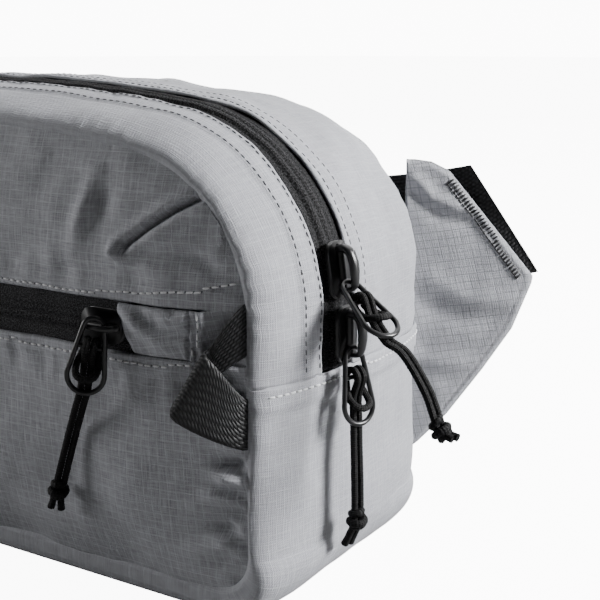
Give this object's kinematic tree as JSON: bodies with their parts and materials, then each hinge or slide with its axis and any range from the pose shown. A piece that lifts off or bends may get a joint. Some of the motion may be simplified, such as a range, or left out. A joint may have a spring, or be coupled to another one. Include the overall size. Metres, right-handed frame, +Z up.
{
  "type": "hip pack",
  "caption": "Ripstop hip pack with a zipped main compartment, a zipped front pocket, ring-and-cord zip pulls, webbing side loops and a waist belt buckled behind the back.",
  "frame": {"origin": "on the floor under the middle of the pack's body, where its underside rests", "axes": "+X to the wearer's left end, -Y out of the front pocket, +Y towards the wearer's back and the belt, +Z up"},
  "size_m": [0.3645, 0.1629, 0.1775],
  "materials": {
    "ripstop": "light grey ripstop weave, matte",
    "zip_tape": "black woven tape",
    "zip_coil": "black nylon coil behind a woven face",
    "lining": "grey coated lining",
    "binding": "black grosgrain binding tape",
    "spacer_mesh": "black padded spacer mesh",
    "webbing": "black polyester webbing, coarse weave",
    "elastic": "black woven elastic",
    "buckle": "black acetal, fine matte",
    "slider": "black enamelled zinc, semi-gloss",
    "ring_wire": "black enamelled wire, glossy",
    "cord": "black braided cord"
  },
  "bodies": {
    "pack": {"gusset_front_strip": "ripstop", "gusset_back_strip": "ripstop", "gusset_lower": "ripstop", "main_zip_tape": "zip_tape", "main_zip_chain": "zip_coil", "front_panel_upper": "ripstop", "front_panel_lower": "ripstop", "pocket_zip_tape": "zip_tape", "pocket_zip_chain": "zip_coil", "zip_garage_right": "ripstop", "zip_garage_left": "ripstop", "pocket_liner": "lining", "seam_binding_front": "binding", "seam_binding_back": "binding", "back_panel": "ripstop", "back_pad": "spacer_mesh", "webbing_loop_right": "webbing", "webbing_loop_left": "webbing", "wing_right": "ripstop", "wing_left": "ripstop", "belt_right": "webbing", "belt_left": "webbing", "buckle_socket": "buckle"},
    "buckle_plug": {"buckle_plug": "buckle", "belt_tail": "webbing", "belt_keeper": "elastic"},
    "slider_upper": {"main_slider_upper": "slider"},
    "slider_lower": {"main_slider_lower": "slider"},
    "slider_pocket": {"pocket_slider": "slider"},
    "pull_upper": {"ring_upper": "ring_wire", "cord_upper": "cord", "knot_upper": "cord"},
    "pull_lower": {"ring_lower": "ring_wire", "cord_lower": "cord", "knot_lower": "cord"},
    "pull_pocket": {"ring_pocket": "ring_wire", "cord_pocket": "cord", "knot_pocket": "cord"}
  },
  "joints": [
    {"name": "buckle_release", "type": "slide", "parent": "pack", "child": "buckle_plug", "axis": [-1, 0, 0], "range_m": [0, 0.034], "deforming": ["belt_left"]},
    {"name": "upper_slider_round_corner", "type": "hinge", "parent": "pack", "child": "slider_upper", "pos_m": [0.077, -0.0195, 0.105], "axis": [0, -1, 0], "range_deg": [-1, 62]},
    {"name": "lower_slider_run", "type": "slide", "parent": "pack", "child": "slider_lower", "axis": [0, 0, 1], "range_m": [-0.004, 0.002]},
    {"name": "pocket_slider_run", "type": "slide", "parent": "pack", "child": "slider_pocket", "axis": [-1, 0, 0], "range_m": [0, 0.155]},
    {"name": "upper_pull_swing", "type": "hinge", "parent": "slider_upper", "child": "pull_upper", "pos_m": [0.14695, -0.0195, 0.11483], "axis": [-0.342, -0.9397, 0], "range_deg": [0, 75]},
    {"name": "lower_pull_swing", "type": "hinge", "parent": "slider_lower", "child": "pull_lower", "pos_m": [0.1496, -0.0195, 0.093], "axis": [-0.342, -0.9397, 0], "range_deg": [0, 20]},
    {"name": "pocket_pull_swing", "type": "hinge", "parent": "slider_pocket", "child": "pull_pocket", "pos_m": [0.08, -0.0688, 0.1005], "axis": [-1, 0, 0], "range_deg": [0, 45]}
  ]
}
